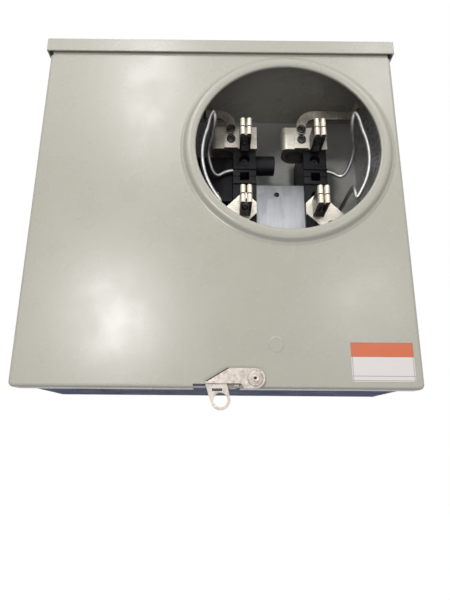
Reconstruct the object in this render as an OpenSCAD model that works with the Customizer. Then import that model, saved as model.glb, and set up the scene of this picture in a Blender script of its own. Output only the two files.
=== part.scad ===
// Ringless meter socket enclosure: a painted steel box for a wall, with a hinged lift-off
// cover that has a raised round opening, a four-jaw socket inside and a pivoting seal latch.
// X runs to the right, Y runs back to the wall and Z up. The origin is the middle of the
// face that lies on the wall.

/* [Enclosure] */
// Width of the box across its side walls
body_w = 308; // [290:1:400]
// Height of the box from the underside of its floor to the top of its walls
body_h = 314; // [300:1:420]
// Depth of the box from the wall to its front lips
body_d = 115; // [110:1:150]
// Thickness of the painted sheet steel
sheet = 1.5; // [1.2:0.1:1.8]
// Width of the lips turned in along the open front
lip_w = 10; // [6:1:12]
// Height of the rain cap's drip lip
cap_lip = 13.5; // [12:0.5:18]
// Gap between the rain cap's side lips and the box
cap_gap = 4.5; // [4:0.25:8]

/* [Wall mounting] */
// Distance between the wall holes from side to side
wall_hole_dx = 230; // [180:5:250]
// Distance between the wall holes from top to bottom
wall_hole_dz = 262; // [200:2:270]
// Radius of the wall holes
wall_hole_r = 3.5; // [2.5:0.25:4.5]

/* [Cover] */
// Gap between the box and the cover's flanges
cover_gap = 1.5; // [1:0.1:2]
// Gap between the box's front lips and the cover
front_gap = 0.5; // [0.3:0.1:1]
// Depth of the flanges along the cover's sides and bottom
cover_flange = 13; // [8:1:20]
// Radius of the meter opening
opening_r = 80; // [70:1:84]
// Width of the raised ring around the meter opening
ring_w = 13; // [10:1:16]
// Height of the raised ring above the cover
ring_h = 4.7; // [3:0.1:6]

/* [Meter socket] */
// Distance from the box's right side to the middle of the meter opening
meter_from_side = 94.6; // [92:0.2:110]
// Distance from the top of the box to the middle of the meter opening
meter_from_top = 108.5; // [104:0.5:120]
// Sideways play of the socket in the opening
socket_shift = -0.2; // [-2:0.1:2]
// Upward play of the socket in the opening
socket_rise = 0.7; // [-2:0.1:2]
// Spacing of the meter's blades, both ways
jaw_pitch = 69.85; // [66:0.05:74]
// Gap between the fingers of a jaw
jaw_gap = 1.3; // [1:0.1:2.4]
// Length of a jaw from its base to its lips
jaw_len = 29; // [24:1:32]
// Height of a jaw
jaw_h = 17.5; // [12:0.5:19]
// Distance from the cover's front to the lips of the jaws
jaw_recess = 21; // [18:0.5:26]
// Height of a terminal's pad
pad_h = 24.6; // [22:0.2:26]
// Thickness of a terminal's pad
pad_t = 3.4; // [3:0.2:5]
// Radius of the wire hole in a lug
wire_r = 9; // [7:0.5:9.5]
// Wall of a lug around its wire hole
lug_wall = 4.2; // [3:0.2:4.6]
// Width of an insulating block
block_w = 22.5; // [20:0.5:24]

/* [Wire supports and horns] */
// Radius of the wire that supports the meter's rim
rim_wire_r = 1.9; // [1.5:0.1:2.2]
// Radius of the circle along which the rim wires run
rim_path_r = 75; // [73:0.5:76]
// Width of a bypass horn's strap
horn_w = 9.5; // [8:0.5:10]
// Thickness of a bypass horn's strap
horn_t = 2.5; // [2:0.25:3]

/* [Latch] */
// Radius of the eye for a padlock
eye_r = 5.3; // [4:0.1:6]
// Width of metal around the padlock eye
eye_rim = 2.1; // [2:0.1:3]
// Thickness of the latch arm
arm_t = 1.6; // [1.2:0.1:2]
// Radius of the latch's shoulder rivet
rivet_r = 3; // [2.5:0.1:3.5]
// Running clearance of the arm around the rivet
rivet_clear = 0.05; // [0.02:0.01:0.09]

/* [Conduit openings] */
// Radii of the rings of the two large knockouts
large_knockout = [31, 25, 19]; // [10:1:34]
// Radius of the small knockout
small_knockout = 11; // [8:0.5:14]

/* [Hidden] */

// Colours of the finishes
paint = [0.70, 0.71, 0.67];
zinc = [0.74, 0.75, 0.77];
tinned = [0.86, 0.84, 0.79];
black_resin = [0.07, 0.07, 0.08];
dark_steel = [0.2, 0.2, 0.21];

// Facets asked for on round faces, and the small amount by which a cut runs past a face
round_fn = 64;
past = 1;
seat = 0.3; // clearance of a piece that drops into a recess

// Planes of the box
side_x = body_w / 2;
top_z = body_h / 2;
floor_z = -body_h / 2;
in_x = side_x - sheet;
back_y = -sheet;
lip_y = -body_d;

swing_room = 4;

// Planes of the cover: its skin lies between cover_in and cover_front
cover_in = lip_y - front_gap;
cover_front = cover_in - sheet;
cover_x = side_x + cover_gap + sheet;
cover_low = floor_z - cover_gap - sheet;
cover_high = top_z - 3;
flange_high = top_z - cap_lip - sheet;
cap_front = cover_front - cover_gap - sheet;
cap_x = side_x + cap_gap + sheet;
cap_low = top_z + sheet - cap_lip;

// Middle of the meter opening, and of the socket
meter_x = side_x - meter_from_side;
meter_z = top_z - meter_from_top;
socket_x = meter_x + socket_shift;
socket_z = meter_z + socket_rise;
half_pitch = jaw_pitch / 2;

// Planes of the socket
jaw_front = cover_front + jaw_recess;
pad_y = jaw_front + jaw_len;
block_y = pad_y + pad_t;
jaw_base_t = 1.6;
jaw_slit = 0.9;
finger_w = 4.7;
finger_l = 4.8;
leaf_t = 1.2;
spring_t = 0.65;
leaf_x = jaw_gap / 2 + finger_w - spring_t;

// A terminal reaches from the jaw to its lug along its own axis; the pad's lower edge and
// the places of its screws are measured from the middle of the jaw
pad_back = 12;
line_pad_low = -5.4;
load_pad_low = -11.5;
line_lug_u = 19.2;
load_lug_u = 21;
line_screw_u = 13.5;
load_screw_u = 21;
load_turn = 45;
clamp_v = 4;
horn_v = 15.2;
lug_r = wire_r + lug_wall;
lug_corner = 5;
wire_way = 30;
wire_play = 0.5;
screw_head_r = 4.3;
screw_r = 3;
boss_t = 2;
boss_w = 13.5;

// The insulating blocks
window_z = socket_z + 1;
block_top = half_pitch + 12;
block_bottom = half_pitch + 22;
recess_r = 5.2;
recess_v = 19.8;
recess_depth = 8;
block_screw_r = 2.4;
window_w = 9;
ledge_t = 1.6;
ledge_v = 8;
anchor_v = 11.5;
anchor_y = block_y + 8;
anchor_depth = 5;

// The bracket between the blocks
bracket_t = 1.9;
bracket_y = block_y + 3;
bracket_top = socket_z - 7.5;
bracket_drop = 62;
foot_l = 16;

// The neutral's insulator stands at the left of the left block, its sleeve at the right
sleeve_r = 9.8;
sleeve_l = 19.5;
sleeve_y = block_y + 16;
sleeve_z = socket_z + 22;
insulator_w = 73;
insulator_front = -51;
insulator_low = socket_z - 20;
insulator_high = socket_z + half_pitch + line_pad_low - seat;
bar_h = 42;
bar_w = 22;
bar_t = 5;
bar_in = 58.725;
bar_z = socket_z;
neutral_lug = [18, 15, 12];
lug_pitch = 22;
lug_foot = 7;
lug_foot_t = 3;

// The latch, placed from the middle of the cover's lower edge
pivot_x = 28.8;
pivot_z = cover_low + 7.2;
arm_gap = 2.5;
arm_back = cover_front - arm_gap;
arm_front = arm_back - arm_t;
arm_end_r = 7.5;
arm_low = cover_low + 3.3;
tab_t = arm_t;
tab_back = cover_front - 0.3;
tab_left = -8.5;
tab_right = 7.4;
eye_x = 3;
eye_z = cover_low - 8.6;
strap_slot = [7.7, 2.1];
strap_x = 0.4;
strap_z = cover_low - 1.3;
head_r = 5.9;
head_t = 1.4;
tail_r = 4.4;
keeper_t = 1.2;
slot_half = 17.8;
slot_low = cover_low + 1.5;
slot_high = slot_low + 1.8;
tongue = [13, 17];
tongue_l = 2;

// Knockouts in the floor
knockout_gap = 0.2;
wireway_x = meter_x - 137;
ground_x = -in_x + 17;
knockout_y = -body_d / 2;

function line_x(side) = socket_x + side * half_pitch;

// A bolt or rivet along Y, its head towards the front
module front_screw(head_r, head_t, shank_r, shank_l, socket_r = 0) {
    difference() {
        union() {
            rotate([90, 0, 0]) cylinder(r = head_r, h = head_t, $fn = round_fn);
            rotate([-90, 0, 0]) cylinder(r = shank_r, h = shank_l, $fn = round_fn);
        }
        if (socket_r > 0)
            translate([0, -head_t / 2, 0])
                rotate([90, 0, 0])
                    cylinder(r = socket_r, h = head_t, $fn = 6);
    }
}

module hole_y(r, y0, y1) {
    translate([0, y0, 0])
        rotate([-90, 0, 0])
            cylinder(r = r, h = y1 - y0, $fn = round_fn);
}

module box_at(low, high) {
    translate(low) cube([high[0] - low[0], high[1] - low[1], high[2] - low[2]]);
}

// ---- the box ----

module wall_holes() {
    for (sx = [-1, 1], sz = [-1, 1])
        translate([sx * wall_hole_dx / 2, 0, sz * wall_hole_dz / 2])
            hole_y(wall_hole_r, -sheet - past, past);
}

module body_shell() {
    lip_low = floor_z + lip_w + 2;
    lip_high = top_z - cap_lip;
    color(paint)
    difference() {
        union() {
            box_at([-side_x, back_y, floor_z], [side_x, 0, top_z]);
            for (s = [-1, 1]) {
                box_at([min(s * in_x, s * side_x), lip_y, floor_z],
                       [max(s * in_x, s * side_x), 0, top_z]);
                box_at([min(s * (in_x - lip_w), s * side_x), lip_y, lip_low],
                       [max(s * (in_x - lip_w), s * side_x), lip_y + sheet, lip_high]);
            }
        }
        // room behind the cover's top edge, which swings back as the cover opens
        box_at([-side_x - past, lip_y - past, top_z - cap_lip],
               [side_x + past, lip_y + swing_room, top_z + past]);
        wall_holes();
        for (s = [-1, 1])
            translate([line_x(s), 0, 0])
                block_screw_places() hole_y(block_screw_r + 0.1, -sheet - past, past);
        bracket_screw_places() hole_y(block_screw_r + 0.1, -sheet - past, past);
        neutral_screw_places() hole_y(block_screw_r + 0.1, -sheet - past, past);
        ground_place() hole_y(block_screw_r + 0.1, -sheet - past, past);
    }
}

module floor_wall() {
    flange = lip_w;
    color(paint)
    difference() {
        box_at([-in_x, lip_y, floor_z], [in_x, back_y, floor_z + flange]);
        box_at([-in_x + sheet, lip_y + sheet, floor_z + sheet],
               [in_x - sheet, back_y - sheet, floor_z + flange + past]);
        translate([wireway_x, knockout_y, floor_z]) knockout_hole(large_knockout[0]);
        translate([meter_x, knockout_y, floor_z]) knockout_hole(large_knockout[0]);
        translate([ground_x, knockout_y, floor_z]) knockout_hole(small_knockout);
        // relief for the tail of the latch's rivet
        box_at([pivot_x - tail_r - 2, lip_y - past, floor_z - past],
               [pivot_x + tail_r + 2, lip_y + sheet, floor_z + flange + past]);
        keeper_rivet_places() cylinder(r = 1.7, h = sheet + 2 * past, center = true, $fn = round_fn);
    }
}

module knockout_hole(r) {
    translate([0, 0, -past]) cylinder(r = r, h = sheet + 2 * past, $fn = round_fn);
}

// Rings and a disc that fill a knockout, each a hair smaller than the one around it
module knockout_rings(radii) {
    for (i = [0 : len(radii) - 1])
        difference() {
            cylinder(r = radii[i] - knockout_gap, h = sheet, $fn = round_fn);
            if (i < len(radii) - 1)
                translate([0, 0, -past])
                    cylinder(r = radii[i + 1], h = sheet + 2 * past, $fn = round_fn);
        }
}

module wireway_knockout() {
    color(paint) translate([wireway_x, knockout_y, floor_z]) knockout_rings(large_knockout);
}

module meter_knockout() {
    color(paint) translate([meter_x, knockout_y, floor_z]) knockout_rings(large_knockout);
}

module ground_knockout() {
    color(paint) translate([ground_x, knockout_y, floor_z]) knockout_rings([small_knockout]);
}

module rain_cap() {
    color(paint)
    difference() {
        box_at([-cap_x, cap_front, cap_low], [cap_x, 0, top_z + sheet]);
        box_at([-cap_x + sheet, cap_front + sheet, cap_low - past], [cap_x - sheet, past, top_z]);
    }
}

module inner_label() {
    color([0.6, 0.6, 0.62])
    box_at([in_x - 0.3, cover_front + 31, socket_z + 7], [in_x, cover_front + 70, socket_z + 77]);
}

// ---- keeper on the floor's front edge, behind the latch ----

module keeper_rivet_places() {
    for (x = [tab_left + 3, tab_right + 5])
        translate([x, lip_y + 12, floor_z + sheet / 2]) children();
}

// Outline of a hanging tab with a padlock eye, in X and Z, from a level down
module tab_outline(high) {
    difference() {
        union() {
            translate([eye_x, eye_z]) circle(r = eye_r + eye_rim, $fn = round_fn);
            polygon([[tab_left, high], [tab_right, high], [eye_x + eye_r + eye_rim, eye_z + 1],
                     [eye_x, eye_z], [eye_x - eye_r - eye_rim, eye_z - 1.2]]);
        }
        translate([eye_x, eye_z]) circle(r = eye_r, $fn = round_fn);
        translate([strap_x - strap_slot[0] / 2, strap_z - strap_slot[1] / 2]) square(strap_slot);
    }
}

// A flat outline in X and Z made into a plate whose front face is at y
module plate_xz(y, t) {
    translate([0, y + t, 0]) rotate([90, 0, 0]) linear_extrude(height = t) children();
}

module keeper() {
    leg_back = lip_y + 18;
    color(zinc)
    difference() {
        union() {
            box_at([tab_left, lip_y, floor_z - keeper_t], [tongue[1], leg_back, floor_z]);
            plate_xz(lip_y, keeper_t) tab_outline(floor_z - keeper_t / 2);
            box_at([tongue[0], lip_y - tongue_l, floor_z - keeper_t], [tongue[1], lip_y, floor_z]);
        }
        keeper_rivet_places() cylinder(r = 1.7, h = 4 * sheet, center = true, $fn = round_fn);
    }
}

module keeper_rivets() {
    color(zinc)
    keeper_rivet_places() {
        translate([0, 0, -sheet / 2 - keeper_t - 1])
            cylinder(r = 1.6, h = keeper_t + sheet + 2, $fn = round_fn);
        for (z = [-sheet / 2 - keeper_t - 1, sheet / 2])
            translate([0, 0, z]) cylinder(r = 2.8, h = 1, $fn = round_fn);
    }
}

// ---- the four-jaw socket ----

// Puts a terminal's parts at one corner of the socket. side is -1 for the left column and 1
// for the right. A line terminal's lug points left, a load terminal's down and outward.
module line_place(side) {
    translate([line_x(side), 0, socket_z + half_pitch]) children();
}

module load_place(side) {
    translate([line_x(side), 0, socket_z - half_pitch])
        mirror([side > 0 ? 1 : 0, 0, 0])
            rotate([0, -load_turn, 0])
                children();
}

module block_screw_places() {
    for (s = [-1, 1]) translate([0, 0, socket_z + s * recess_v]) children();
}

module wire_anchor(side) {
    translate([line_x(side) + side * (block_w / 2 - anchor_depth), anchor_y, socket_z + anchor_v])
        rotate([0, side * 90, 0])
            cylinder(r = rim_wire_r + 0.1, h = anchor_depth + past, $fn = round_fn);
}

module block(side) {
    difference() {
        union() {
            box_at([line_x(side) - block_w / 2, block_y, socket_z - block_bottom],
                   [line_x(side) + block_w / 2, back_y, socket_z + block_top]);
            for (s = [-1, 1])
                box_at([line_x(side) - block_w / 2, block_y - ledge_t, window_z + s * ledge_v - 0.8],
                       [line_x(side) + block_w / 2, block_y + 1, window_z + s * ledge_v + 0.8]);
        }
        translate([line_x(side), 0, 0])
            block_screw_places() {
                hole_y(recess_r, block_y - past, block_y + recess_depth);
                hole_y(block_screw_r + 0.1, block_y, past);
            }
        box_at([line_x(side) - window_w / 2, block_y - past, window_z - window_w / 2],
               [line_x(side) + window_w / 2, block_y + 14, window_z + window_w / 2]);
        box_at([line_x(side) - block_w, block_y - past, window_z - 0.3],
               [line_x(side) + block_w, block_y + 1.2, window_z + 0.3]);
        line_place(side) lug_room(line_lug_u, line_pad_low);
        load_place(side) lug_room(load_lug_u, load_pad_low);
        load_place(side) wire_room(load_lug_u, load_pad_low);
        line_place(side) hole_y(jaw_screw_r + 0.1, block_y - past, block_y + 9);
        load_place(side) hole_y(jaw_screw_r + 0.1, block_y - past, block_y + 9);
        wire_anchor(side);
    }
}

// Way along which a stripped wire passes the corner of the block to reach its lug
module wire_room(lug_u, pad_low) {
    translate([-lug_u, pad_y + lug_r, pad_low - wire_way])
        cylinder(r = wire_r + wire_play, h = wire_way, $fn = round_fn);
}

// Space that a lug needs behind its pad, cut from the insulating block
module lug_room(lug_u, pad_low) {
    box_at([-lug_u - lug_r - 1, block_y - past, pad_low - seat],
           [-lug_u + lug_r + seat, pad_y + 2 * lug_r + seat, pad_low + pad_h + 30]);
}

module left_block() { color(black_resin) block(-1); }
module right_block() { color(black_resin) block(1); }

module block_screws() {
    color(dark_steel)
    for (s = [-1, 1])
        translate([line_x(s), block_y + recess_depth, 0])
            block_screw_places()
                front_screw(4.2, 2.6, block_screw_r, -block_y - recess_depth, 1.8);
}

// A lug across its wire hole: round, with its front outer corner squared up
module lug_outline() {
    reach = lug_r - lug_corner;
    circle(r = lug_r, $fn = round_fn);
    translate([-reach, -reach]) circle(r = lug_corner, $fn = round_fn);
    translate([-lug_r, -reach]) square([lug_r, reach]);
    translate([-reach, -lug_r]) square([reach, lug_r]);
}

// Pad with a lug at its end: the wire runs through the lug across the pad
module terminal(lug_u, pad_low, screw_u, screws) {
    difference() {
        union() {
            box_at([-lug_u, pad_y, pad_low], [pad_back, block_y, pad_low + pad_h]);
            translate([-lug_u, pad_y + lug_r, pad_low])
                linear_extrude(height = pad_h) lug_outline();
            box_at([-screw_u - boss_w / 2, pad_y - boss_t, pad_low],
                   [-screw_u + boss_w / 2, pad_y + 1, pad_low + boss_w]);
        }
        translate([-lug_u, pad_y + lug_r, pad_low - past])
            cylinder(r = wire_r, h = pad_h + 2 * past, $fn = round_fn);
        for (v = screws)
            translate([-screw_u, 0, v])
                hole_y(screw_r + 0.1, pad_y - boss_t - past, pad_y + lug_r);
        hole_y(jaw_screw_r + 0.1, pad_y - past, block_y + past);
    }
}

module line_terminal() {
    terminal(line_lug_u, line_pad_low, line_screw_u, [clamp_v, horn_v]);
}

// The corner of a load terminal's pad is clipped to the width of its block
module load_terminal(side) {
    difference() {
        load_place(side)
            terminal(load_lug_u, load_pad_low, load_screw_u, [load_clamp_v]);
        box_at([line_x(side) - side * (block_w / 2) - (side > 0 ? 20 : 0), pad_y - 5, socket_z - 80],
               [line_x(side) - side * (block_w / 2) + (side > 0 ? 0 : 20), block_y + 5, socket_z]);
    }
}

load_clamp_v = load_pad_low + boss_w / 2;

module line_terminal_left() { color(tinned) line_place(-1) line_terminal(); }
module line_terminal_right() { color(tinned) line_place(1) line_terminal(); }
module load_terminal_left() { color(tinned) load_terminal(-1); }
module load_terminal_right() { color(tinned) load_terminal(1); }

// One leaf of a jaw in X and Y: a flat leaf that ends in a thick rounded finger
module leaf_outline() {
    finger_x = jaw_gap / 2;
    translate([leaf_x - leaf_t, jaw_front + finger_w / 2])
        square([leaf_t, jaw_len - finger_w / 2 - spring_t]);
    translate([finger_x + finger_w / 2, jaw_front + finger_w / 2])
        circle(r = finger_w / 2, $fn = round_fn);
    translate([finger_x, jaw_front + finger_w / 2])
        square([finger_w, finger_l - finger_w / 2]);
}

module jaw() {
    base_y = pad_y - spring_t - jaw_base_t;
    difference() {
        union() {
            translate([0, 0, -jaw_h / 2])
                linear_extrude(height = jaw_h) {
                    leaf_outline();
                    mirror([1, 0]) leaf_outline();
                }
            box_at([-leaf_x, base_y, -jaw_h / 2], [leaf_x, pad_y - spring_t, jaw_h / 2]);
        }
        box_at([-leaf_x - 2, jaw_front - past, -jaw_slit / 2],
               [leaf_x + 2, pad_y - 8, jaw_slit / 2]);
        hole_y(jaw_screw_r + 0.1, base_y - past, pad_y + past);
    }
}

jaw_screw_r = 2;

module jaw_place(side, row) {
    translate([line_x(side), 0, socket_z + row * half_pitch]) children();
}

module line_jaw_left() { color(tinned) jaw_place(-1, 1) jaw(); }
module line_jaw_right() { color(tinned) jaw_place(1, 1) jaw(); }
module load_jaw_left() { color(tinned) jaw_place(-1, -1) jaw(); }
module load_jaw_right() { color(tinned) jaw_place(1, -1) jaw(); }

module jaw_screws() {
    color(dark_steel)
    for (side = [-1, 1], row = [-1, 1])
        jaw_place(side, row)
            translate([0, pad_y - spring_t - jaw_base_t, 0])
                front_screw(2.8, 1.8, jaw_screw_r, jaw_base_t + spring_t + pad_t + 7, 1.4);
}

// A steel clip round the back of each jaw presses its leaves together
module jaw_springs() {
    clip_x = leaf_x + spring_t;
    color(dark_steel)
    for (side = [-1, 1], row = [-1, 1])
        jaw_place(side, row)
            difference() {
                box_at([-clip_x, jaw_front + finger_l, -jaw_h / 2 + 0.5],
                       [clip_x, pad_y, jaw_h / 2 - 0.5]);
                box_at([-leaf_x, jaw_front, -jaw_h / 2 - past],
                       [leaf_x, pad_y - spring_t, jaw_h / 2 + past]);
                hole_y(jaw_screw_r + 0.1, pad_y - 2, pad_y + past);
            }
}

// The clamp screws turn in the lower hole of each pad, the horn screws in the upper one
module clamp_screw() {
    front_screw(screw_head_r, 2.2, screw_r, boss_t + lug_wall - seat, 2.4);
}

module horn_screw() {
    front_screw(screw_head_r, 2.2, screw_r, horn_t + pad_t, 2.4);
}

module lug_screws() {
    color(dark_steel)
    for (side = [-1, 1]) {
        line_place(side) translate([-line_screw_u, pad_y - boss_t, clamp_v]) clamp_screw();
        load_place(side) translate([-load_screw_u, pad_y - boss_t, load_clamp_v]) clamp_screw();
    }
}

module horn_screws() {
    color(dark_steel)
    for (side = [-1, 1])
        line_place(side) translate([-line_screw_u, pad_y - horn_t, horn_v]) horn_screw();
}

// A bypass horn in X and Z: up from its screw at [0, 0], round a quarter turn towards dir
// and level to reach, with a blade turned forward at its end
horn_bend = 14.25;
horn_rise = 3;
horn_blade = 20;

module horn(dir, reach) {
    difference() {
        mirror([dir < 0 ? 1 : 0, 0, 0]) {
            plate_xz(pad_y - horn_t, horn_t) {
                circle(r = horn_w / 2, $fn = round_fn);
                translate([-horn_w / 2, 0]) square([horn_w, horn_rise]);
                translate([horn_bend, horn_rise])
                    intersection() {
                        difference() {
                            circle(r = horn_bend + horn_w / 2, $fn = round_fn);
                            circle(r = horn_bend - horn_w / 2, $fn = round_fn);
                        }
                        translate([-2 * horn_bend, 0]) square(2 * horn_bend);
                    }
                translate([horn_bend, horn_rise + horn_bend - horn_w / 2])
                    square([reach - horn_bend, horn_w]);
            }
            box_at([reach - horn_t, pad_y - horn_blade, horn_rise + horn_bend - horn_w / 2],
                   [reach, pad_y, horn_rise + horn_bend + horn_w / 2]);
        }
        hole_y(screw_r + 0.1, pad_y - horn_t - past, pad_y + past);
    }
}

line_horn_reach = 41;
module line_horn_left() {
    color(tinned)
    line_place(-1) translate([-line_screw_u, 0, horn_v]) horn(-1, line_horn_reach - line_screw_u);
}

module line_horn_right() {
    color(tinned)
    line_place(1) translate([-line_screw_u, 0, horn_v]) horn(1, line_horn_reach + line_screw_u);
}

// ---- rim wires ----

rim_y = cover_front + 12;
rim_high = 20;
rim_low = -33;
hook_z = socket_z - 25;

// Cuts the corners of a path, once for each level
function cut_corners(path, level) =
    level == 0 ? path :
    cut_corners(concat(
        [path[0]],
        [for (i = [1 : len(path) - 2], t = [0, 1])
            t == 0 ? path[i] * 0.75 + path[i - 1] * 0.25 : path[i] * 0.75 + path[i + 1] * 0.25],
        [path[len(path) - 1]]), level - 1);

function unit(v) = v / norm(v);
function path_way(path, i) = unit(path[min(i + 1, len(path) - 1)] - path[max(i - 1, 0)]);

// Side vectors carried along the path so that the tube doesn't twist
function sides_along(path, i, side) =
    i == len(path) ? [] :
    let (way = path_way(path, i), now = unit(side - way * (side * way)))
    concat([now], sides_along(path, i + 1, now));

// A round wire of many flats along a path
module tube(path, r, flats) {
    sides = sides_along(path, 0, [0.05, 0.3, 1]);
    points = [for (i = [0 : len(path) - 1], k = [0 : flats - 1])
        let (a = 360 * k / flats)
        path[i] + r * (cos(a) * sides[i] + sin(a) * cross(path_way(path, i), sides[i]))];
    walls = [for (i = [0 : len(path) - 2], k = [0 : flats - 1])
        [i * flats + k, (i + 1) * flats + k,
         (i + 1) * flats + (k + 1) % flats, i * flats + (k + 1) % flats]];
    ends = [[for (k = [0 : flats - 1]) k],
            [for (k = [flats - 1 : -1 : 0]) (len(path) - 1) * flats + k]];
    polyhedron(points = points, faces = concat(walls, ends));
}

// The right wire: out of its block, forward and up, down round the opening, back to the wall
function rim_path(side) =
    let (
        face = line_x(1) + block_w / 2,
        anchor_z = socket_z + anchor_v,
        hook_low = side > 0 ? hook_z : hook_z - 8,
        rise = [
            [face - anchor_depth + seat, anchor_y, anchor_z], [face + 6, anchor_y, anchor_z],
            [face + 18.5, anchor_y + 0.5, anchor_z - 8], [face + 26, anchor_y - 15, anchor_z + 10],
            [face + 21, anchor_y - 30, anchor_z + 19], [face + 17.5, rim_y + 6, anchor_z + 27],
            [face + 18.8, rim_y, anchor_z + 33], [face + 22.5, rim_y, anchor_z + 26]
        ],
        arc = [for (a = [rim_high : -6 : side > 0 ? rim_low : rim_low - 8])
            [socket_x + rim_path_r * cos(a), rim_y, socket_z + rim_path_r * sin(a)]],
        hook = [
            [socket_x + 60.5, rim_y + 1, hook_low - 20], [socket_x + 60.5, rim_y + 4, hook_low - 8],
            [socket_x + 62, rim_y + 12, hook_low], [socket_x + 62, back_y, hook_low]
        ])
    [for (p = concat(rise, arc, hook)) [socket_x + side * (p[0] - socket_x), p[1], p[2]]];

module rim_wire(side) {
    tube(cut_corners(rim_path(side), 2), rim_wire_r, 12);
}

module rim_wire_left() { color(zinc) rim_wire(-1); }
module rim_wire_right() { color(zinc) rim_wire(1); }

// ---- bracket between the blocks, with a hole for a fifth jaw ----

bracket_half = half_pitch - block_w / 2 - seat;
bracket_foot_z = bracket_top - bracket_drop;

module bracket_screw_places() {
    for (s = [-1, 1])
        translate([socket_x + s * 14, 0, bracket_foot_z - foot_l / 2]) children();
}

module centre_bracket() {
    color(zinc)
    difference() {
        union() {
            box_at([socket_x - bracket_half, bracket_y, bracket_foot_z],
                   [socket_x + bracket_half, bracket_y + bracket_t, bracket_top]);
            box_at([socket_x - bracket_half, bracket_y, bracket_foot_z],
                   [socket_x + bracket_half, back_y, bracket_foot_z + bracket_t]);
            box_at([socket_x - bracket_half, back_y - bracket_t, bracket_foot_z - foot_l],
                   [socket_x + bracket_half, back_y, bracket_foot_z + bracket_t]);
        }
        translate([socket_x - 3.6, 0, bracket_top - 10])
            hole_y(2.5, bracket_y - past, bracket_y + bracket_t + past);
        bracket_screw_places() hole_y(block_screw_r + 0.1, back_y - bracket_t - past, past);
    }
}

module centre_screws() {
    color(dark_steel)
    bracket_screw_places()
        translate([0, back_y - bracket_t, 0])
            front_screw(4.2, 2.6, block_screw_r, bracket_t + sheet, 1.8);
}

// ---- neutral, insulated and carried on the wall at the left of the socket ----

insulator_right = line_x(-1) - block_w / 2 - seat;
bar_x = insulator_right - bar_in;
bar_y = insulator_front - bar_t;

module neutral_screw_places() {
    for (x = [insulator_right - insulator_w + 6, insulator_right - 38])
        translate([x, 0, insulator_high - 8]) children();
}

module neutral_foot_places() {
    for (s = [-1, 1])
        translate([bar_x, 0, bar_z + s * lug_pitch / 2 - (neutral_lug[2] + lug_foot) / 2]) children();
}

module neutral_insulator() {
    color(black_resin)
    difference() {
        box_at([insulator_right - insulator_w, insulator_front, insulator_low],
               [insulator_right, back_y, insulator_high]);
        neutral_screw_places() {
            hole_y(5, insulator_front - past, insulator_front + 14);
            hole_y(block_screw_r + 0.1, insulator_front, past);
        }
        neutral_foot_places() hole_y(2.1, insulator_front - past, insulator_front + 9);
    }
}

module neutral_sleeve() {
    color(black_resin)
    translate([line_x(-1) + block_w / 2, sleeve_y, sleeve_z])
        rotate([0, 90, 0])
            difference() {
                cylinder(r = sleeve_r, h = sleeve_l, $fn = round_fn);
                translate([0, 0, sleeve_l - 4])
                    cylinder(r = sleeve_r - 3, h = 5, $fn = round_fn);
            }
}

module neutral_bar() {
    color(tinned)
    difference() {
        box_at([bar_x - bar_w / 2, bar_y, bar_z - bar_h / 2],
               [bar_x + bar_w / 2, bar_y + bar_t, bar_z + bar_h / 2]);
        neutral_foot_places() hole_y(2.1, bar_y - past, bar_y + bar_t + past);
    }
}

module neutral_lugs() {
    half = neutral_lug[2] / 2;
    color(tinned)
    for (s = [-1, 1])
        translate([bar_x, bar_y, bar_z + s * lug_pitch / 2])
            difference() {
                union() {
                    box_at([-neutral_lug[0] / 2, -neutral_lug[1], -half],
                           [neutral_lug[0] / 2, 0, half]);
                    box_at([-neutral_lug[0] / 2, -lug_foot_t, -half - lug_foot],
                           [neutral_lug[0] / 2, 0, -half]);
                }
                translate([0, -neutral_lug[1] / 2, 0])
                    rotate([0, 90, 0])
                        cylinder(r = 4.4, h = neutral_lug[0] + 2, center = true, $fn = round_fn);
                translate([0, 0, -(neutral_lug[2] + lug_foot) / 2]) hole_y(2.1, -neutral_lug[1], past);
                hole_y(3.1, -neutral_lug[1] - past, -neutral_lug[1] / 2);
            }
}

module neutral_screws() {
    color(dark_steel) {
        neutral_screw_places()
            translate([0, insulator_front + 14, 0])
                front_screw(4.2, 2.6, block_screw_r, -insulator_front - 14, 1.8);
        for (s = [-1, 1])
            translate([bar_x, bar_y - neutral_lug[1], bar_z + s * lug_pitch / 2])
                front_screw(3.6, 1.6, 3, neutral_lug[1] / 2 - 3, 1.8);
        neutral_foot_places()
            translate([0, bar_y - lug_foot_t, 0])
                front_screw(3, 1.6, 2, lug_foot_t + bar_t + 8, 1.4);
    }
}

module ground_place() {
    translate([-in_x + 40, 0, floor_z + 60]) children();
}

module ground_screw() {
    color([0.1, 0.4, 0.2])
    ground_place()
        translate([0, back_y, 0])
            front_screw(5, 3, block_screw_r, sheet, 2);
}

// ---- the cover ----

// Section of the raised ring: radius outward, height forward of the skin's inner face
module ring_section() {
    foot_r = opening_r + ring_w;
    crest = sheet + ring_h;
    polygon([
        [foot_r + 1, 0.3], [foot_r + 1, sheet - 0.3], [foot_r - 0.2, sheet],
        [foot_r - 2, sheet + 0.5], [foot_r - 4.5, crest - 1.3], [foot_r - 6, crest - 0.3],
        [foot_r - 7.5, crest], [foot_r - 9.5, crest - 0.1], [opening_r + 1.2, crest - 0.3],
        [opening_r + 0.3, crest - 0.6], [opening_r, crest - 1], [opening_r, crest - 2.6],
        [opening_r + 0.8, crest - 2.6], [opening_r + 1.6, crest - sheet - 0.5],
        [foot_r - 9.3, crest - sheet - 0.1], [foot_r - 7.5, crest - sheet],
        [foot_r - 6.6, crest - sheet - 0.4], [foot_r - 3.2, 0.6], [foot_r - 1.5, 0.3]
    ]);
}

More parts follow.
